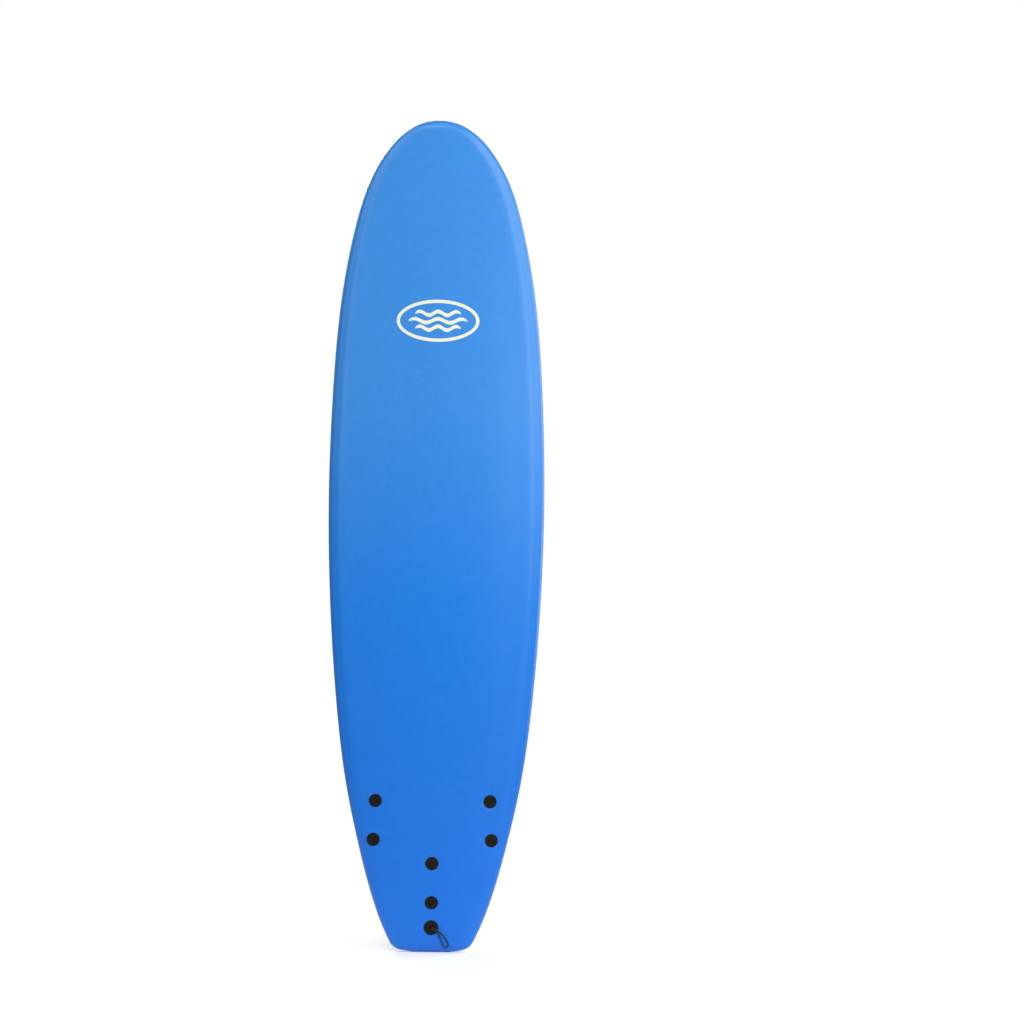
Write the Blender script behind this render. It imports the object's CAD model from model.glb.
import functools
import math
import bmesh
import bpy
import numpy as np
from mathutils import Matrix, Vector


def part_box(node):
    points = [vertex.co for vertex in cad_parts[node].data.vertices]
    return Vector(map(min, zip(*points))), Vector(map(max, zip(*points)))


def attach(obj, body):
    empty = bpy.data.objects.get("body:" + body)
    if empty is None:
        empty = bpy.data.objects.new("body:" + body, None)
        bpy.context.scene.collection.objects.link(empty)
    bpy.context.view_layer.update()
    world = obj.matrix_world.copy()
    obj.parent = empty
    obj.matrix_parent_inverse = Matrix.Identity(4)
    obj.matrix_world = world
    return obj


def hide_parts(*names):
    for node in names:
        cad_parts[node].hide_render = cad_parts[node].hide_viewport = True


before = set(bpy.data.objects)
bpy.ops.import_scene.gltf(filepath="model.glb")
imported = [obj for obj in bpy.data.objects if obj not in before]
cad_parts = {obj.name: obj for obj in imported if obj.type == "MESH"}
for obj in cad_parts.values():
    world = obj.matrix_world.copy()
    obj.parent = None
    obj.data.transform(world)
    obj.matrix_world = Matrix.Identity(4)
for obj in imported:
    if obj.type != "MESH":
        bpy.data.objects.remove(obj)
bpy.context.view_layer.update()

# A 7 ft soft-top surfboard standing on its tail: +Z to the nose, deck to -Y, bottom and fins
# to +Y. Sizes are in metres. The foam and the slick repeat the CAD's sections, so they lie
# where it has them.

# ---- Form of the board, as in the CAD ----
LENGTH = 2.134
BOTTOM_Y = 0.0472
MAX_THICKNESS = 0.084
THICKEST_Z = 1.080
TAIL_THICKNESS_LOSS = 0.50
NOSE_THICKNESS_LOSS = 0.52
FOIL_POWER = 2.6
TAIL_ROCKER = 0.062
TAIL_ROCKER_START = 0.950
NOSE_ROCKER = 0.145
NOSE_ROCKER_START = 1.150
NOSE_ROCKER_POWER = 2.7
END_RADIUS = 0.024
OUTLINE = [
    (0.0, 0.046), (0.003, 0.068), (0.008, 0.090), (0.016, 0.1015), (0.030, 0.1105),
    (0.060, 0.125), (0.120, 0.1485), (0.265, 0.190), (0.415, 0.2235), (0.640, 0.254),
    (0.900, 0.273), (1.190, 0.2794), (1.460, 0.2705), (1.685, 0.2505), (1.860, 0.218),
    (1.985, 0.1775), (2.055, 0.1363), (2.092, 0.1035), (2.112, 0.077), (2.124, 0.0545),
    (2.131, 0.031), (2.134, 0.012),
]
# Cross-section, as (size where the board is thinnest, growth where it is thickest).
THIN = 0.040
SHOULDER = (0.039, 0.024)
APEX = (0.016, 0.008)
BOTTOM_ROLL = (0.002, 0.002)
DECK_CORNER = (0.032, 0.012)
BOTTOM_CORNER = (0.016, 0.006)
DECK_CORNER_MOST = 0.6
BOTTOM_CORNER_MOST = 0.4
CORNER_INSET = 0.9
RAIL_ANGLES = (0, 20, 42, 66, 90)
DOME_SHARES = (0.72, 0.38)
SECTION_PARAMETERS = [
    0, 0.045, 0.09, 0.135, 0.18, 0.27, 0.38, 0.5, 0.62, 0.73, 0.82, 0.865, 0.91, 0.955, 1,
]
DECK, BOTTOM = -1, 1
# The visual deck turns a little more softly than the CAD's: (spread, length kept at each end).
TIP_EASING = (0.005, 0.006)
DECK_EASING = (0.010, 0.009)

# ---- Meshes ----
WELD = 1e-6
CRISP_ANGLE = math.radians(35)
CAP_ROWS = range(0, 91, 9)              # degrees round the rounding of each end
END_ROW_STEP = 0.006
NOSE_ROWS_START = 1.96
ROW_STEP = 0.012
DECK_ROWS = (0.034, 0.420, 0.0036, ROW_STEP)    # fine rows round the deck's discs
BOTTOM_ROWS = (0.030, 0.420, 0.006, ROW_STEP)   # fine rows round the tail's fittings

# ---- Layers ----
SKIN = 0.005
SLICK_MARGIN = 0.012
SLICK_THICKNESS = 0.0018
SLICK_PROUD = 0.0003
REBATE = 0.0018                 # how much lower the foam is where the slick covers it
REBATE_SLOPE = 0.003
EDGE_LINE_RADIUS = 0.0006

# ---- Fittings ----
PLUG_RADIUS = 0.0167
LEASH_PLUG_RADIUS = 0.0188
LEASH_BASE_RADIUS = 0.0223
FIT_GAP = 0.0003
CUT_REACH = (-0.012, 0.006)     # how far a cutter goes below and above the surface
DIMPLE_DEPTH = 0.0010
DIMPLE_WIDTH = 0.011
GRIP_LENGTH = 0.0975
GRIP_NECK_WIDTH = 0.025
GRIP_CORNER = 0.002
GRIP_RIM = 0.003
GRIP_WALL = 0.002
FINGER_COUNT = 4
FINGER_PITCH = 0.0237
FINGER_BULGE = 0.003

# ---- Leash plug, as in the CAD, and the string's route on it ----
MM = 0.001
LEASH_SEAT = Vector((0.0, -0.05126, 0.064))
LEASH_TILT = math.radians(4.53)
STRING_RADIUS = 0.0016
STRING_ROUTE = [                # (right, up, out of the deck) in mm
    (1.25, 1.25, -9.0), (1.25, 1.25, 6.2), (10.8, -3.0, 4.6), (19.6, -8.6, 3.3),
    (29.3, -17.2, 3.0), (38.6, -28.6, 3.1), (45.0, -40.2, 3.0), (44.6, -49.4, 3.1),
    (36.2, -51.2, 3.0), (30.6, -44.2, 3.1), (26.2, -32.6, 3.0), (22.0, -20.6, 3.1),
    (16.2, -11.4, 3.3), (8.0, -6.2, 4.7), (-1.25, -1.25, 6.2), (-1.25, -1.25, -9.0),
]

# ---- Print ----
# Edges of the bottom's stripes, up from the tail; the lowest stripe is pale.
STRIPE_EDGES = [
    0.109, 0.238, 0.356, 0.487, 0.608, 0.739, 0.860, 0.991, 1.1145, 1.248,
    1.369, 1.503, 1.624, 1.755, 1.870, 1.994, 2.104,
]
BADGE_SIZE = (0.213, 0.108)
BADGE_LINE = 0.0085
BADGE_FILM = 0.00012
WAVE_RISE = 0.0048
WAVE_LINE = 0.0092
WAVE_TURNS = 2.5
WAVES = [(0.019, 0.118), (0.0, 0.152), (-0.019, 0.118)]    # (height in the badge, length)
DECK_BADGE_Z = 1.626
BOTTOM_BADGE_Z = 1.675

# ---- Studio ----
CAMERA_DISTANCE = 10.0
CAMERA_PLACE = (0.196, 0.03 - CAMERA_DISTANCE, 1.136)
CAMERA_ROLL = math.radians(-0.66)
FRAME_WIDTH = 2.6565            # width of the picture at the board
SENSOR_WIDTH = 36.0
ROOM_LIGHT = 0.25
FLOOR_HALF = 6.0
FLOOR_FADE = (0.4, 2.4)         # the floor is whole out to the first and gone at the second
# Name, place, target, size, power.
LIGHTS = [
    ("key", (-0.7, -2.9, 3.5), (0, 0, 1.2), (2.0, 1.4), 60),
    ("box_right", (2.2, -2.6, 2.0), (0.1, 0, 1.5), (1.6, 1.8), 68),
    ("strip_left", (-2.0, -2.2, 2.0), (-0.2, 0, 1.6), (0.3, 1.2), 15),
    ("rim_right", (1.9, -0.5, 1.9), (0.2, 0, 1.5), (0.5, 1.5), 14),
    ("back_key", (-1.4, 3.4, 3.2), (0, 0, 1.3), (2.2, 1.6), 108),
    ("back_strip", (2.6, 2.0, 1.5), (0, 0, 1.1), (0.6, 2.4), 34),
]

# ---- Grain ----
FOAM_CELLS = 520


# ---------------------------------------------------------------- camera, light and floor

def look_at(obj, target):
    """Points a light at a place."""
    direction = Vector(target) - obj.location
    obj.rotation_euler = direction.to_track_quat("-Z", "Y").to_euler()


def add_camera():
    """A long lens, level with the upper middle of the board and a little to its right."""
    data = bpy.data.cameras.new("camera")
    data.sensor_width = SENSOR_WIDTH
    data.lens = SENSOR_WIDTH * CAMERA_DISTANCE / FRAME_WIDTH
    data.clip_end = 100.0
    camera = bpy.data.objects.new("camera", data)
    camera.location = CAMERA_PLACE
    camera.rotation_euler = (math.radians(90), CAMERA_ROLL, 0)
    bpy.context.scene.collection.objects.link(camera)
    bpy.context.scene.camera = camera


def add_area(name, location, target, size, power):
    """A soft rectangular light."""
    data = bpy.data.lights.new(name, "AREA")
    data.shape = "RECTANGLE"
    data.size, data.size_y = size
    data.energy = power
    light = bpy.data.objects.new(name, data)
    light.location = location
    look_at(light, target)
    bpy.context.scene.collection.objects.link(light)


def add_lights():
    """A dim white room that the camera sees as plain white, and the studio's soft lights."""
    world = bpy.data.worlds.new("studio")
    world.use_nodes = True
    tree = world.node_tree
    room = tree.nodes["Background"]
    room.inputs["Color"].default_value = (1, 1, 1, 1)
    room.inputs["Strength"].default_value = ROOM_LIGHT
    paper = tree.nodes.new("ShaderNodeBackground")
    paper.inputs["Strength"].default_value = 1.0
    paper.inputs["Color"].default_value = (1, 1, 1, 1)
    seen = tree.nodes.new("ShaderNodeLightPath")
    choose = tree.nodes.new("ShaderNodeMixShader")
    tree.links.new(seen.outputs["Is Camera Ray"], choose.inputs[0])
    tree.links.new(room.outputs[0], choose.inputs[1])
    tree.links.new(paper.outputs[0], choose.inputs[2])
    tree.links.new(choose.outputs[0], tree.nodes["World Output"].inputs["Surface"])
    bpy.context.scene.world = world
    for light in LIGHTS:
        add_area(*light)


def add_floor():
    """A plain pale floor that fades out into the white room."""
    mesh = bpy.data.meshes.new("floor")
    build = bmesh.new()
    bmesh.ops.create_grid(build, x_segments=24, y_segments=24, size=FLOOR_HALF)
    build.to_mesh(mesh)
    build.free()
    floor = bpy.data.objects.new("floor", mesh)
    bpy.context.scene.collection.objects.link(floor)
    mat, tree, shader = new_material("floor", (0.93, 0.93, 0.93), 0.9)
    shader.inputs["Emission Color"].default_value = (1, 1, 1, 1)
    shader.inputs["Emission Strength"].default_value = 0.14
    length = tree.nodes.new("ShaderNodeVectorMath")
    length.operation = "LENGTH"
    tree.links.new(coordinates(tree), length.inputs[0])
    fade = tree.nodes.new("ShaderNodeMapRange")
    fade.interpolation_type = "SMOOTHSTEP"
    fade.inputs["From Min"].default_value, fade.inputs["From Max"].default_value = FLOOR_FADE
    fade.inputs["To Min"].default_value = 1.0
    fade.inputs["To Max"].default_value = 0.0
    tree.links.new(length.outputs["Value"], fade.inputs["Value"])
    tree.links.new(fade.outputs["Result"], shader.inputs["Alpha"])
    mesh.materials.append(mat)


# ---------------------------------------------------------------- shader helpers

def srgb(red, green, blue):
    """Linear colour of an 8-bit one."""
    out = []
    for level in (red, green, blue):
        c = level / 255
        out.append(c / 12.92 if c <= 0.04045 else ((c + 0.055) / 1.055) ** 2.4)
    return tuple(out)


# Foam colours as (share of the length, colour).
DECK_TONES = [
    (0.10, srgb(0, 109, 214)), (0.42, srgb(8, 120, 217)), (0.68, srgb(46, 131, 213)),
    (0.95, srgb(50, 132, 211)),
]
RAIL_TONES = [(0.1, srgb(138, 150, 182)), (0.9, srgb(146, 158, 188))]


def new_material(name, base, roughness=0.5, **sockets):
    """A material with its tree and shader; sockets are named with _ for a space."""
    mat = bpy.data.materials.new(name)
    mat.use_nodes = True
    shader = mat.node_tree.nodes["Principled BSDF"]
    shader.inputs["Base Color"].default_value = (*base, 1)
    shader.inputs["Roughness"].default_value = roughness
    for key, value in sockets.items():
        shader.inputs[key.replace("_", " ")].default_value = value
    return mat, mat.node_tree, shader


def coordinates(tree):
    return tree.nodes.new("ShaderNodeTexCoord").outputs["Object"]


def height_share(tree, low, high):
    """0 at one height of the board and 1 at another."""
    split = tree.nodes.new("ShaderNodeSeparateXYZ")
    tree.links.new(coordinates(tree), split.inputs[0])
    scale = tree.nodes.new("ShaderNodeMapRange")
    scale.inputs["From Min"].default_value = low
    scale.inputs["From Max"].default_value = high
    tree.links.new(split.outputs["Z"], scale.inputs["Value"])
    return scale.outputs["Result"]


def noise(tree, scale, detail=3.0, rough=0.5, stretch=None):
    """Clouded noise over the object, stretched along an axis where stretch says."""
    node = tree.nodes.new("ShaderNodeTexNoise")
    node.inputs["Scale"].default_value = scale
    node.inputs["Detail"].default_value = detail
    node.inputs["Roughness"].default_value = rough
    place = coordinates(tree)
    if stretch:
        mapping = tree.nodes.new("ShaderNodeMapping")
        mapping.inputs["Scale"].default_value = stretch
        tree.links.new(place, mapping.inputs["Vector"])
        place = mapping.outputs["Vector"]
    tree.links.new(place, node.inputs["Vector"])
    return node.outputs["Fac"]


def cells(tree, scale):
    """Distance to the middles of random cells."""
    node = tree.nodes.new("ShaderNodeTexVoronoi")
    node.inputs["Scale"].default_value = scale
    tree.links.new(coordinates(tree), node.inputs["Vector"])
    return node.outputs["Distance"]


def ramp(tree, value, stops, constant=False):
    """Colours at (position, colour) stops of a value."""
    node = tree.nodes.new("ShaderNodeValToRGB")
    node.color_ramp.interpolation = "CONSTANT" if constant else "LINEAR"
    elements = node.color_ramp.elements
    while len(elements) < len(stops):
        elements.new(1.0)
    for element, (position, colour) in zip(elements, stops):
        element.position = position
        element.color = (*colour, 1)
    tree.links.new(value, node.inputs["Fac"])
    return node.outputs["Color"]


def grey(level):
    return (level, level, level)


def multiply(tree, first, second):
    node = tree.nodes.new("ShaderNodeMix")
    node.data_type = "RGBA"
    node.blend_type = "MULTIPLY"
    node.inputs[0].default_value = 1.0
    tree.links.new(first, node.inputs[6])
    tree.links.new(second, node.inputs[7])
    return node.outputs[2]


def bump(tree, shader, layers):
    """Fine relief from (height, strength, distance) layers."""
    normal = None
    for height, strength, distance in layers:
        node = tree.nodes.new("ShaderNodeBump")
        node.inputs["Strength"].default_value = strength
        node.inputs["Distance"].default_value = distance
        tree.links.new(height, node.inputs["Height"])
        if normal:
            tree.links.new(normal, node.inputs["Normal"])
        normal = node.outputs["Normal"]
    tree.links.new(normal, shader.inputs["Normal"])


def vary_roughness(tree, shader, value, low, high):
    """Roughness that follows a noise between two levels."""
    scale = tree.nodes.new("ShaderNodeMapRange")
    scale.inputs["From Min"].default_value = 0.35
    scale.inputs["From Max"].default_value = 0.65
    scale.inputs["To Min"].default_value = low
    scale.inputs["To Max"].default_value = high
    tree.links.new(value, scale.inputs["Value"])
    tree.links.new(scale.outputs["Result"], shader.inputs["Roughness"])


# ---------------------------------------------------------------- materials

def foam_material(name, tones, sheen=0.0):
    """Closed-cell foam: fine cells, faint mottling, a dusty face, and a fade along the board."""
    mat, tree, shader = new_material(name, tones[0][1], 0.48, Sheen_Weight=sheen,
                                     Sheen_Roughness=0.45, Specular_IOR_Level=0.42)
    tone = ramp(tree, height_share(tree, 0.0, LENGTH), tones)
    cloud = noise(tree, 70, 4.0, 0.65)
    grain = cells(tree, FOAM_CELLS)
    tone = multiply(tree, tone, ramp(tree, cloud, [(0.3, grey(0.94)), (0.7, grey(1.0))]))
    tone = multiply(tree, tone, ramp(tree, grain, [(0.1, grey(1.0)), (0.6, grey(0.93))]))
    tree.links.new(tone, shader.inputs["Base Color"])
    vary_roughness(tree, shader, cloud, 0.38, 0.46)
    bump(tree, shader, [(noise(tree, 9, 2.0), 0.10, 0.004), (grain, 0.30, 0.0003)])
    return mat


def slick_material():
    """Hard shiny sheet with broad stripes across the board and faint handling marks."""
    blue, pale = srgb(26, 79, 188), srgb(186, 197, 226)
    mat, tree, shader = new_material("slick_sheet", pale, 0.25, Specular_IOR_Level=0.30,
                                     Coat_Weight=0.08, Coat_Roughness=0.12)
    stops = [(0.0, pale)]
    for index, edge in enumerate(STRIPE_EDGES):
        stops.append((edge / LENGTH, pale if index % 2 else blue))
    stripes = ramp(tree, height_share(tree, 0.0, LENGTH), stops, constant=True)
    cloud = noise(tree, 7, 4.0, 0.6)
    soft = ramp(tree, cloud, [(0.3, (0.965, 0.968, 0.98)), (0.7, (1, 1, 1))])
    tree.links.new(multiply(tree, stripes, soft), shader.inputs["Base Color"])
    vary_roughness(tree, shader, noise(tree, 18, 4.0, 0.6), 0.22, 0.29)
    scratches = noise(tree, 60, 6.0, 0.8, stretch=(8, 8, 0.4))
    bump(tree, shader, [(noise(tree, 10, 2.0), 0.04, 0.002), (scratches, 0.04, 0.0001)])
    return mat


def plastic_material(name, base, light, roughness, specular=0.5, grain=1400):
    """Moulded plastic with a fine spark-eroded grain, worn a little paler in patches."""
    mat, tree, shader = new_material(name, base, roughness, Specular_IOR_Level=specular)
    wear = noise(tree, 60, 5.0, 0.7)
    tree.links.new(ramp(tree, wear, [(0.42, base), (0.78, light)]), shader.inputs["Base Color"])
    vary_roughness(tree, shader, wear, roughness - 0.06, roughness + 0.08)
    bump(tree, shader, [(noise(tree, grain, 2.0), 0.22, 0.0002)])
    return mat


def metal_material(name, base, light, roughness):
    """Bare metal, slightly stained."""
    mat, tree, shader = new_material(name, base, roughness, Metallic=1.0)
    tone = noise(tree, 220, 4.0, 0.6)
    tree.links.new(ramp(tree, tone, [(0.3, base), (0.7, light)]), shader.inputs["Base Color"])
    vary_roughness(tree, shader, tone, roughness - 0.08, roughness + 0.1)
    bump(tree, shader, [(noise(tree, 600, 3.0), 0.15, 0.0002)])
    return mat


def wood_material():
    """Pale wood with its grain up the board."""
    base, light = srgb(150, 105, 62), srgb(196, 154, 100)
    mat, tree, shader = new_material("stringer_wood", base, 0.6)
    grain = noise(tree, 6, 6.0, 0.7, stretch=(30, 30, 1.5))
    tree.links.new(ramp(tree, grain, [(0.3, base), (0.7, light)]), shader.inputs["Base Color"])
    bump(tree, shader, [(grain, 0.2, 0.0005)])
    return mat


def cord_material():
    """Tight dark braid."""
    dark, light = srgb(4, 22, 34), srgb(22, 58, 76)
    mat, tree, shader = new_material("string_braid", dark, 0.7)
    braid = cells(tree, 1700)
    tree.links.new(ramp(tree, braid, [(0.15, light), (0.6, dark)]), shader.inputs["Base Color"])
    bump(tree, shader, [(braid, 0.6, 0.0004)])
    return mat


def ink_material(name, base, light):
    """Screen-printed ink, a little uneven, over the foam's cells."""
    mat, tree, shader = new_material(name, base, 0.5, Specular_IOR_Level=0.3)
    patchy = noise(tree, 260, 3.0, 0.6)
    tree.links.new(ramp(tree, patchy, [(0.3, base), (0.7, light)]), shader.inputs["Base Color"])
    bump(tree, shader, [(cells(tree, FOAM_CELLS), 0.2, 0.0002)])
    return mat


def edge_line_material():
    """The trim line round the slick, rubbed away in places."""
    line, worn = srgb(196, 140, 112), srgb(150, 160, 184)
    mat, tree, shader = new_material("edge_line", line, 0.5)
    rubbed = noise(tree, 5, 5.0, 0.7)
    tree.links.new(ramp(tree, rubbed, [(0.42, worn), (0.56, line)]), shader.inputs["Base Color"])
    bump(tree, shader, [(noise(tree, 300, 2.0), 0.2, 0.0002)])
    return mat


# ---------------------------------------------------------------- the board's form

def natural_spline(knots, values, at):
    """A smooth curve through values at knots, read at other places."""
    t = np.asarray(knots, float)
    v = np.asarray(values, float)
    at = np.asarray(at, float)
    n = len(t)
    h = np.diff(t)
    system = np.eye(n)
    right = np.zeros_like(v)
    for i in range(1, n - 1):
        system[i, i - 1:i + 2] = h[i - 1], 2 * (h[i - 1] + h[i]), h[i]
        right[i] = 6 * ((v[i + 1] - v[i]) / h[i] - (v[i] - v[i - 1]) / h[i - 1])
    bend = np.linalg.solve(system, right)
    i = np.clip(np.searchsorted(t, at) - 1, 0, n - 2)
    step = h[i][:, None]
    a = (t[i + 1] - at)[:, None] / step
    b = (at - t[i])[:, None] / step
    curve = ((a**3 - a) * bend[i] + (b**3 - b) * bend[i + 1]) * step**2 / 6
    return a * v[i] + b * v[i + 1] + curve


def outline_curve(count=4000):
    """Dense heights and half-widths along the outline."""
    points = np.array(OUTLINE)
    run = np.concatenate([[0], np.cumsum(np.linalg.norm(np.diff(points, axis=0), axis=1))])
    dense = natural_spline(run, points, np.linspace(0, run[-1], count))
    return np.maximum.accumulate(dense[:, 0]), dense[:, 1]


OUTLINE_Z, OUTLINE_HALF = outline_curve()


def half_width(z):
    """Half the board's width at a height."""
    return float(np.interp(z, OUTLINE_Z, OUTLINE_HALF))


def rocker(z):
    """How far the ends curve up towards the deck."""
    if z < TAIL_ROCKER_START:
        return TAIL_ROCKER * ((TAIL_ROCKER_START - z) / TAIL_ROCKER_START) ** 3
    if z > NOSE_ROCKER_START:
        run = (z - NOSE_ROCKER_START) / (LENGTH - NOSE_ROCKER_START)
        return NOSE_ROCKER * run**NOSE_ROCKER_POWER
    return 0.0


def thickness(z):
    """Thickness on the centre line at a height."""
    if z < THICKEST_Z:
        loss = TAIL_THICKNESS_LOSS * ((THICKEST_Z - z) / THICKEST_Z) ** FOIL_POWER
    else:
        loss = NOSE_THICKNESS_LOSS * ((z - THICKEST_Z) / (LENGTH - THICKEST_Z)) ** FOIL_POWER
    return MAX_THICKNESS * (1 - loss)


def sized(pair, z):
    """A size of the cross-section at a height, as it grows with the thickness."""
    thin, growth = pair
    return thin + growth * (thickness(z) - THIN) / (MAX_THICKNESS - THIN)


def easing(at, value, spread, keep):
    """How far a curve moves when its sudden turns are eased, but not close to its ends."""
    grid = np.linspace(at[0], at[-1], 601)
    plain = np.interp(grid, at, value)
    step = grid[1] - grid[0]
    reach = int(3 * spread / step) + 1
    weights = np.exp(-0.5 * (np.arange(-reach, reach + 1) * step / spread) ** 2)
    soft = np.convolve(np.pad(plain, reach, mode="edge"), weights / weights.sum(), mode="valid")
    blend = np.clip(np.minimum(grid - grid[0], grid[-1] - grid) / keep - 1, 0, 1)
    return grid, blend * blend * (3 - 2 * blend) * (soft - plain)


def end_shares():
    """Share of the full height at distances from the tip: a round end that eases out."""
    run = np.linspace(0, 4 * END_RADIUS, 601)
    share = np.sqrt(1 - np.maximum(0, 1 - run / END_RADIUS) ** 2)
    return run, share + easing(run, share, *TIP_EASING)[1]


END_RUN, END_SHARE = end_shares()


def section_row(z, side, inset, places):
    """Points across the deck or the bottom at one height, left to right, inset all round."""
    share = float(np.interp(min(z, LENGTH - z), END_RUN, END_SHARE))
    half = half_width(z)
    apex, roll, shoulder_thickness = sized(APEX, z), sized(BOTTOM_ROLL, z), sized(SHOULDER, z)
    if side == DECK:
        corner = min(sized(DECK_CORNER, z), DECK_CORNER_MOST * half) - CORNER_INSET * inset
        height = (shoulder_thickness - apex - inset) * share
        dome = (thickness(z) - shoulder_thickness) * share
    else:
        corner = min(sized(BOTTOM_CORNER, z), BOTTOM_CORNER_MOST * half) - CORNER_INSET * inset
        height = (apex - roll - inset) * share
        dome = roll * share
    y = BOTTOM_Y - rocker(z) - apex
    shoulder = half - inset - corner
    points = []
    for angle in RAIL_ANGLES:
        turn = math.radians(angle)
        points.append((shoulder + corner * math.cos(turn), y + side * height * math.sin(turn)))
    for part in DOME_SHARES:
        points.append((part * shoulder, y + side * (height + dome * (1 - part**2))))
    middle = (0.0, y + side * (height + dome))
    points = [(-px, py) for px, py in points] + [middle] + points[::-1]
    row = natural_spline(SECTION_PARAMETERS, points, places)
    if side == DECK:
        dense = natural_spline(SECTION_PARAMETERS, points, np.linspace(0, 1, 201))
        eased_at, eased_by = easing(dense[:, 0], dense[:, 1], *DECK_EASING)
        row[:, 1] += np.interp(row[:, 0], eased_at, eased_by)
    level = inset + z * (LENGTH - 2 * inset) / LENGTH
    return [(px, py, level) for px, py in row]


@functools.lru_cache(maxsize=None)
def surface_row(z, side):
    """The x and y of a dense row across the deck or the bottom."""
    row = np.array(section_row(z, side, 0.0, np.linspace(0, 1, 241)))
    return row[:, 0], row[:, 1]


def surface_point(x, z, side):
    """The point of the deck or the bottom at a place of the plan."""
    xs, ys = surface_row(round(z, 5), side)
    return Vector((x, float(np.interp(x, xs, ys)), z))


def surface_normal(x, z, side):
    """The surface's direction out of the board there."""
    step = 0.004
    across = surface_point(x + step, z, side) - surface_point(x - step, z, side)
    along = surface_point(x, z + step, side) - surface_point(x, z - step, side)
    normal = across.cross(along).normalized()
    return normal if normal.y * side > 0 else -normal


def heights(fine_low, fine_high, fine_step, coarse_step):
    """Rows up the board: round the two ends, fine in one stretch and coarse elsewhere."""
    cap = [END_RADIUS * (1 - math.cos(math.radians(a))) for a in CAP_ROWS]
    top = LENGTH - END_RADIUS
    rows = list(cap)
    for low, high, step in ((END_RADIUS, fine_low, END_ROW_STEP),
                            (fine_low, fine_high, fine_step),
                            (fine_high, NOSE_ROWS_START, coarse_step),
                            (NOSE_ROWS_START, top, END_ROW_STEP)):
        count = max(1, round((high - low) / step))
        rows += list(np.linspace(low, high, count + 1)[1:])
    return rows[:-1] + [LENGTH - z for z in reversed(cap)]


def across(rail_count, middle_count):
    """Places across a row, close together over the rails."""
    rail = list(np.linspace(0, 0.2, rail_count))
    middle = list(np.linspace(0.2, 0.8, middle_count)[1:-1])
    return rail + middle + [1 - place for place in reversed(rail)]


# ---------------------------------------------------------------- mesh helpers

def weld(build):
    """Merges doubled points and drops slivers."""
    bmesh.ops.remove_doubles(build, verts=build.verts, dist=WELD)
    bmesh.ops.dissolve_degenerate(build, edges=build.edges, dist=WELD)


def mark_sharp(build):
    """Keeps shading crisp over sharp or open edges and smooth over the rest."""
    for edge in build.edges:
        edge.smooth = len(edge.link_faces) == 2 and edge.calc_face_angle(0) < CRISP_ANGLE


def make_object(name, verts, faces, mat):
    """A smooth mesh without doubled points or slivers."""
    build = bmesh.new()
    corners = [build.verts.new(v) for v in verts]
    for face in faces:
        build.faces.new([corners[i] for i in face])
    weld(build)
    bmesh.ops.recalc_face_normals(build, faces=build.faces)
    return finish_mesh(name, build, mat)


def finish_mesh(name, build, mat):
    """Turns a bmesh into an object of the scene."""
    for face in build.faces:
        face.smooth = True
    mark_sharp(build)
    mesh = bpy.data.meshes.new(name)
    build.to_mesh(mesh)
    build.free()
    if mat:
        mesh.materials.append(mat)
    obj = bpy.data.objects.new(name, mesh)
    bpy.context.scene.collection.objects.link(obj)
    return obj


def shell(name, outer, inner, mat):
    """A closed sheet between two grids of the same rows and columns."""
    rows, columns = len(outer), len(outer[0])
    verts = [p for row in outer for p in row] + [p for row in inner for p in row]
    half = rows * columns
    faces = []
    for r in range(rows - 1):
        for c in range(columns - 1):
            a = r * columns + c
            quad = [a, a + 1, a + columns + 1, a + columns]
            faces.append(quad)
            faces.append([half + i for i in reversed(quad)])
    loop = [c for c in range(columns)] + [r * columns + columns - 1 for r in range(1, rows)]
    loop += [(rows - 1) * columns + c for c in range(columns - 2, -1, -1)]
    loop += [r * columns for r in range(rows - 2, 0, -1)]
    for a, b in zip(loop, loop[1:] + loop[:1]):
        faces.append([a, half + a, half + b, b])
    return make_object(name, verts, faces, mat)


def cut(obj, cutters):
    """Cuts closed shapes out of a piece for good."""
    for cutter in cutters:
        modifier = obj.modifiers.new("cut", "BOOLEAN")
        modifier.operation = "DIFFERENCE"
        modifier.solver = "EXACT"
        modifier.object = cutter
    graph = bpy.context.evaluated_depsgraph_get()
    mesh = bpy.data.meshes.new_from_object(obj.evaluated_get(graph))
    obj.modifiers.clear()
    obj.data = mesh
    for cutter in cutters:
        bpy.data.objects.remove(cutter)
    build = bmesh.new()
    build.from_mesh(mesh)
    weld(build)
    mark_sharp(build)
    build.to_mesh(mesh)
    build.free()


def prism(outline, place):
    """A closed cutter over a plan outline, through the surface that a frame lies on."""
    build = bmesh.new()
    rings = []
    for level in CUT_REACH:
        rings.append([build.verts.new(place @ Vector((px, py, level))) for px, py in outline])
    build.faces.new(rings[0][::-1])
    build.faces.new(rings[1])
    for i in range(len(outline)):
        j = (i + 1) % len(outline)
        build.faces.new((rings[0][i], rings[0][j], rings[1][j], rings[1][i]))
    bmesh.ops.recalc_face_normals(build, faces=build.faces)
    return finish_mesh("cutter", build, None)


def frame_at(point, normal):
    """Axes on a surface: x across the board to the right, y up it, z out of it."""
    up = (Vector((0, 0, 1)) - normal * normal.z).normalized()
    right = up.cross(normal)
    return Matrix.Translation(point) @ Matrix((right, up, normal)).transposed().to_4x4()


def circle(radius, count=72):
    """Plan points round a circle."""
    turns = [2 * math.pi * i / count for i in range(count)]
    return [(radius * math.cos(t), radius * math.sin(t)) for t in turns]


# ---------------------------------------------------------------- pieces

def middle_of(node):
    """Middle of a CAD node in plan, as (x, z)."""
    low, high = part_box(node)
    return (low[0] + high[0]) / 2, (low[2] + high[2]) / 2


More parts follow.
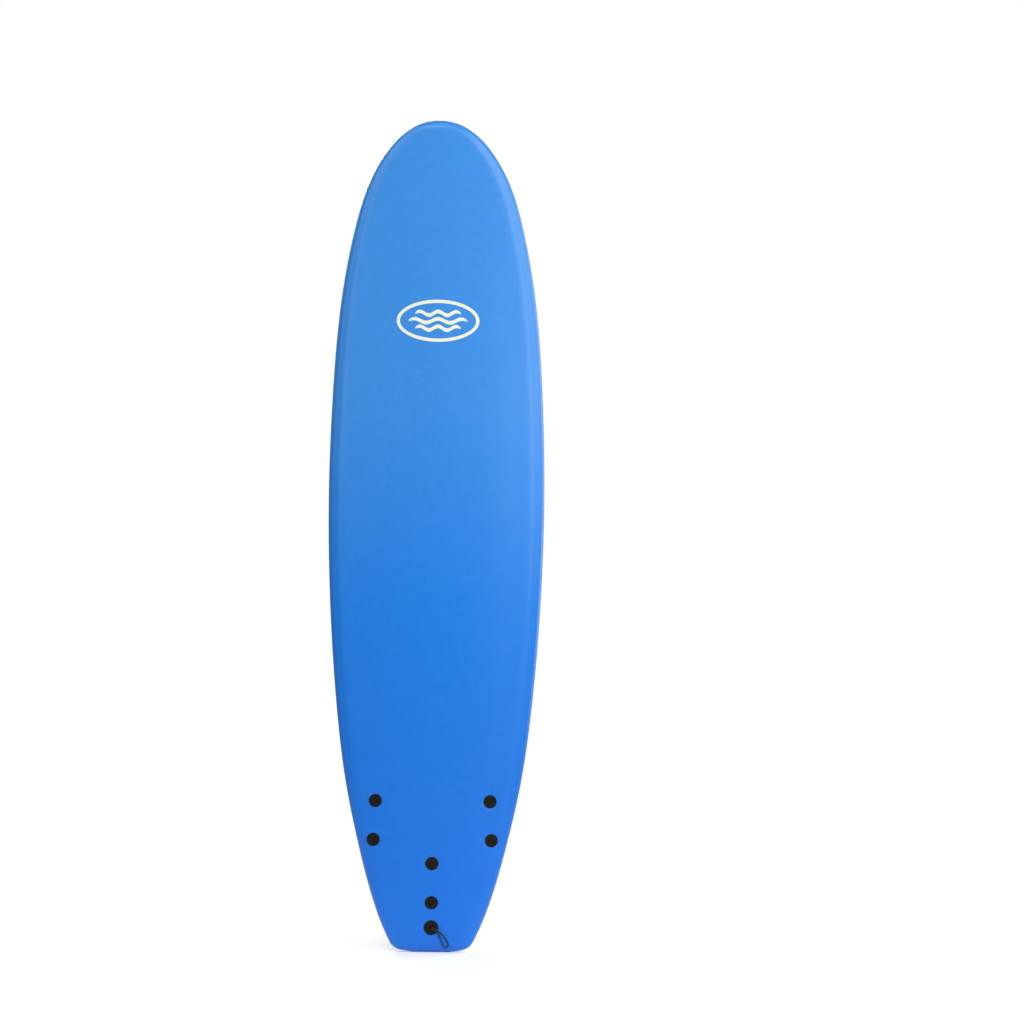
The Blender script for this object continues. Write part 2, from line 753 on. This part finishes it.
def deck_fittings():
    """Every disc on the deck, as (x, z, radius)."""
    spots = []
    for name in sorted(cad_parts):
        if name.startswith("deck_plug"):
            spots.append((*middle_of(name), PLUG_RADIUS))
    spots.append((LEASH_SEAT.x, LEASH_SEAT.z, LEASH_PLUG_RADIUS))
    return spots


def sink(point, spots, depth, width):
    """How far the foam is pressed in beside its fittings."""
    deepest = 0.0
    for x, z, radius in spots:
        beyond = (math.hypot(point[0] - x, point[2] - z) - radius) / width
        if beyond < 1:
            t = max(0.0, beyond)
            deepest = max(deepest, depth * (1 - t * t * (3 - 2 * t)))
    return deepest


def make_deck(mat):
    """The foam deck, wrapped over both rails and pressed in round its fittings."""
    spots = deck_fittings()
    rows = heights(*DECK_ROWS)
    places = across(17, 97)
    outer = []
    for z in rows:
        row = section_row(z, DECK, 0.0, places)
        if 0.03 < z < 0.43:
            row = [(x, y + sink((x, y, level), spots, DIMPLE_DEPTH, DIMPLE_WIDTH), level)
                   for x, y, level in row]
        outer.append(row)
    inner = [section_row(z, DECK, SKIN, places) for z in rows]
    deck = shell("deck_foam", outer, inner, mat)
    cutters = []
    for x, z, radius in spots:
        place = frame_at(surface_point(x, z, DECK), surface_normal(x, z, DECK))
        cutters.append(prism(circle(radius + FIT_GAP), place))
    cut(deck, cutters)
    return deck


def plan_inset(x, z):
    """Roughly how far inside the outline a point of the plan is."""
    sideways = half_width(z) - abs(x)
    slope = (half_width(min(z + 0.004, LENGTH)) - half_width(max(z - 0.004, 0.0))) / 0.008
    return min(sideways / math.hypot(1, slope), z, LENGTH - z)


def grip_outline(grow):
    """Plan of the carry grip: four shallow finger lobes a side on a straight neck."""
    half_length = GRIP_LENGTH / 2 + grow
    neck = GRIP_NECK_WIDTH / 2 + grow
    corner = GRIP_CORNER + grow
    straight = half_length - corner
    radius = ((FINGER_PITCH / 2) ** 2 + FINGER_BULGE**2) / (2 * FINGER_BULGE)
    turn = [straight + corner * math.sin(math.radians(angle)) for angle in range(15, 91, 15)]
    side = []
    for along in [-t for t in reversed(turn)] + list(np.linspace(-straight, straight, 55)) + turn:
        past = max(0.0, abs(along) - straight)
        wide = neck - corner + math.sqrt(max(0.0, corner**2 - past**2))
        for finger in range(FINGER_COUNT):
            middle = (finger - (FINGER_COUNT - 1) / 2) * FINGER_PITCH
            reach = (radius + grow) ** 2 - (along - middle) ** 2
            if reach > 0 and abs(along) <= half_length - GRIP_CORNER / 2:
                wide = max(wide, math.sqrt(reach) - radius + neck - grow + FINGER_BULGE)
        side.append((wide, along))
    return side + [(-wide, along) for wide, along in reversed(side)]


def bottom_cutters(grip_margin):
    """Cutters for the grip, with a margin round its mouth, and for the leash plug's base."""
    cutters = []
    for node, outline in (("carry_grip", grip_outline(grip_margin + FIT_GAP)),
                          ("leash_plug_base", circle(LEASH_BASE_RADIUS + FIT_GAP))):
        x, z = middle_of(node)
        place = frame_at(surface_point(x, z, BOTTOM), surface_normal(x, z, BOTTOM))
        cutters.append(prism(outline, place))
    return cutters


def make_bottom_foam(mat):
    """The grey foam: the rail band, and the bed that the slick lies in."""
    rows = heights(*BOTTOM_ROWS)
    places = across(25, 57)
    outer = []
    for z in rows:
        row = []
        for x, y, level in section_row(z, BOTTOM, 0.0, places):
            t = (plan_inset(x, level) - SLICK_MARGIN) / REBATE_SLOPE
            t = min(1.0, max(0.0, t))
            row.append((x, y - REBATE * t, level))
        outer.append(row)
    inner = [section_row(z, BOTTOM, SKIN, places) for z in rows]
    foam = shell("rail_foam", outer, inner, mat)
    cut(foam, bottom_cutters(GRIP_WALL))
    return foam


def slick_edge():
    """The right half of the slick's outline as (x, z), tail to nose."""
    scale = (LENGTH - 2 * SLICK_MARGIN) / LENGTH
    right = []
    for z in heights(*BOTTOM_ROWS):
        right.append((half_width(z) - SLICK_MARGIN, SLICK_MARGIN + z * scale))
    return right


def make_slick(mat):
    """The hard sheet, with a thin rounded edge, in its bed in the foam."""
    columns = np.linspace(-1, 1, 81)
    outer, inner = [], []
    for reach, level in slick_edge():
        xs, ys = surface_row(round(level, 5), BOTTOM)
        across_row = np.interp(columns * reach, xs, ys)
        outer.append([(x * reach, y + SLICK_PROUD, level) for x, y in zip(columns, across_row)])
        inner.append([(x * reach, y + SLICK_PROUD - SLICK_THICKNESS, level)
                      for x, y in zip(columns, across_row)])
    sheet = shell("slick_sheet", outer, inner, mat)
    cut(sheet, bottom_cutters(GRIP_RIM))
    return sheet


def tube_mesh(name, path, radius, mat, sides=8):
    """A closed ring of tube along a closed path."""
    count = len(path)
    verts, faces = [], []
    for i, here in enumerate(path):
        ahead = (path[(i + 1) % count] - path[i - 1]).normalized()
        out = Vector((0, 1, 0))
        out = (out - ahead * out.dot(ahead)).normalized()
        side = ahead.cross(out)
        for turn in range(sides):
            angle = 2 * math.pi * turn / sides
            verts.append(here + (side * math.cos(angle) + out * math.sin(angle)) * radius)
    for i in range(count):
        for turn in range(sides):
            a, b = i * sides + turn, i * sides + (turn + 1) % sides
            c, d = (b + sides) % (count * sides), (a + sides) % (count * sides)
            faces.append((a, b, c, d))
    return make_object(name, verts, faces, mat)


def make_edge_line(mat):
    """A thin bead of trim that seals the slick's edge."""
    side = slick_edge()
    ring = [(x, z) for x, z in side] + [(-x, z) for x, z in reversed(side)]
    path = []
    for x, z in ring:
        point = surface_point(x, z, BOTTOM)
        if not path or (point - path[-1]).length > 0.0015:
            path.append(point)
    return tube_mesh("slick_edge_line", path, EDGE_LINE_RADIUS, mat)


def oval_band(width, height, line, steps=120):
    """Strip round an oval, as pairs of inner and outer plan points."""
    pairs = []
    for i in range(steps + 1):
        turn = 2 * math.pi * i / steps
        c, s = math.cos(turn), math.sin(turn)
        outer = (width / 2 * c, height / 2 * s)
        inner = ((width / 2 - line) * c, (height / 2 - line) * s)
        pairs.append((inner, outer))
    return pairs


def wave_band(length, rise, middle, line, waves, steps=90):
    """Strip along a rolling wave with tapered ends."""
    pairs = []
    for i in range(steps + 1):
        t = i / steps
        x = length * (t - 0.5)
        y = middle + rise * math.sin(2 * math.pi * waves * t)
        half = line / 2 * math.sqrt(max(0.0, 1 - (2 * t - 1) ** 6)) + 0.0003
        pairs.append(((x, y - half), (x, y + half)))
    return pairs


def print_film(name, strips, z_middle, side, mat):
    """Thin film of ink over plan strips, laid on the deck or the bottom."""
    lift = SLICK_PROUD if side == BOTTOM else 0.0
    divisions = 3
    parts = []
    for pairs in strips:
        build = bmesh.new()
        rows = []
        for first, second in pairs:
            row = []
            for k in range(divisions + 1):
                t = k / divisions
                x = first[0] + (second[0] - first[0]) * t
                z = z_middle + first[1] + (second[1] - first[1]) * t
                spot = surface_point(x, z, side)
                normal = surface_normal(x, z, side)
                row.append([spot + normal * (lift + film) for film in (BADGE_FILM, -BADGE_FILM)])
            rows.append(row)
        tops = [[build.verts.new(pair[0]) for pair in row] for row in rows]
        feet = [[build.verts.new(pair[1]) for pair in row] for row in rows]
        for a, b, c, d in zip(tops, tops[1:], feet, feet[1:]):
            for k in range(divisions):
                build.faces.new((a[k], b[k], b[k + 1], a[k + 1]))
                build.faces.new((c[k], c[k + 1], d[k + 1], d[k]))
            build.faces.new((a[0], c[0], d[0], b[0]))
            build.faces.new((a[-1], b[-1], d[-1], c[-1]))
        for top, foot in ((tops[0], feet[0]), (tops[-1], feet[-1])):
            for k in range(divisions):
                build.faces.new((top[k], top[k + 1], foot[k + 1], foot[k]))
        bmesh.ops.remove_doubles(build, verts=build.verts, dist=WELD)
        interior = [f for f in build.faces if all(len(e.link_faces) > 2 for e in f.edges)]
        bmesh.ops.delete(build, geom=interior, context="FACES")
        bmesh.ops.recalc_face_normals(build, faces=build.faces)
        parts.append(build)
    whole = bmesh.new()
    for build in parts:
        scratch = bpy.data.meshes.new("scratch")
        build.to_mesh(scratch)
        build.free()
        whole.from_mesh(scratch)
        bpy.data.meshes.remove(scratch)
    return finish_mesh(name, whole, mat)


def badge_strips():
    """A plain oval badge with three rolling waves in it."""
    width, height = BADGE_SIZE
    strips = [oval_band(width, height, BADGE_LINE)]
    for middle, length in WAVES:
        strips.append(wave_band(length, WAVE_RISE, middle, WAVE_LINE, WAVE_TURNS))
    return strips


def make_string(mat):
    """The braid's loop, a tube along the route that the CAD's string takes."""
    out = Vector((0, -math.cos(LEASH_TILT), math.sin(LEASH_TILT)))
    up = Vector((0, math.sin(LEASH_TILT), math.cos(LEASH_TILT)))
    right = Vector((1, 0, 0))
    curve = bpy.data.curves.new("leash_cord", "CURVE")
    curve.dimensions = "3D"
    spline = curve.splines.new("NURBS")
    spline.points.add(len(STRING_ROUTE) - 1)
    places = [LEASH_SEAT + (right * a + up * b + out * c) * MM for a, b, c in STRING_ROUTE]
    for point, place in zip(spline.points, places):
        point.co = (*place, 1)
    spline.order_u = 3
    spline.use_endpoint_u = True
    curve.resolution_u = 12
    curve.bevel_depth = STRING_RADIUS
    curve.bevel_resolution = 6
    curve.use_fill_caps = True
    cord = bpy.data.objects.new("leash_cord", curve)
    bpy.context.scene.collection.objects.link(cord)
    curve.materials.append(mat)
    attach(cord, "string_loop")
    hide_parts("leash_string")


def paint(names, mat):
    """Gives CAD nodes their finish."""
    for name in names:
        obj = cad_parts[name]
        if not obj.material_slots:
            obj.data.materials.append(mat)
        for slot in obj.material_slots:
            slot.material = mat


def starting(*prefixes):
    """CAD nodes whose names start with one of these."""
    return [name for name in sorted(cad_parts) if name.startswith(prefixes)]


def paint_cad():
    """Finishes of the CAD nodes that show as they are, or lie inside."""
    white_tones = [(0.1, srgb(226, 229, 234)), (0.9, srgb(234, 236, 240))]
    fins = plastic_material("fin_plastic", srgb(7, 6, 10), srgb(18, 18, 24), 0.36, 0.3)
    plugs = plastic_material("plug_plastic", srgb(14, 12, 3), srgb(28, 24, 10), 0.6, 0.16)
    grip = plastic_material("grip_plastic", srgb(166, 176, 204), srgb(182, 192, 216), 0.4,
                            grain=900)
    steel = metal_material("screw_steel", srgb(38, 34, 28), srgb(58, 54, 46), 0.5)
    brass = metal_material("brass", srgb(196, 150, 70), srgb(222, 184, 104), 0.3)
    paint(starting("foam_core", "bottom_liner"), foam_material("white_foam", white_tones))
    paint(starting("stringer"), wood_material())
    paint(["fin_left", "fin_centre", "fin_right", "leash_plug_base"], fins)
    paint(starting("fin_screw"), steel)
    paint(starting("fin_insert"), brass)
    paint(starting("deck_plug", "leash_plug_top"), plugs)
    paint(["carry_grip"], grip)


def main():
    """Builds the studio, paints the CAD's nodes and makes the visual pieces."""
    bpy.context.scene.view_settings.view_transform = "Standard"
    add_camera()
    add_lights()
    add_floor()
    paint_cad()

    deck_blue = foam_material("deck_foam", DECK_TONES, sheen=0.02)
    rail_grey = foam_material("rail_foam", RAIL_TONES, sheen=0.1)
    slick = slick_material()
    braid = cord_material()
    paint(["deck_skin"], deck_blue)
    paint(["rail_band_left", "rail_band_right"], rail_grey)
    paint(["bottom_slick"], slick)
    paint(["leash_knot", "leash_string"], braid)
    make_string(braid)

    cream = ink_material("cream_ink", srgb(212, 215, 188), srgb(220, 223, 197))
    navy = ink_material("navy_ink", srgb(6, 9, 32), srgb(14, 18, 44))
    strips = badge_strips()
    pieces = [
        (make_deck(deck_blue), ["deck_skin"], "deck_foam"),
        (make_bottom_foam(rail_grey), ["rail_band_left", "rail_band_right", "bottom_liner"],
         "rail_foam"),
        (make_slick(slick), ["bottom_slick"], "slick_sheet"),
        (make_edge_line(edge_line_material()), [], "slick_sheet"),
        (print_film("deck_badge", strips, DECK_BADGE_Z, DECK, cream), [], "deck_foam"),
        (print_film("bottom_badge", strips, BOTTOM_BADGE_Z, BOTTOM, navy), [], "slick_sheet"),
    ]
    for piece, nodes, slot in pieces:
        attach(piece, "board")
        if nodes:
            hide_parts(*nodes)


main()
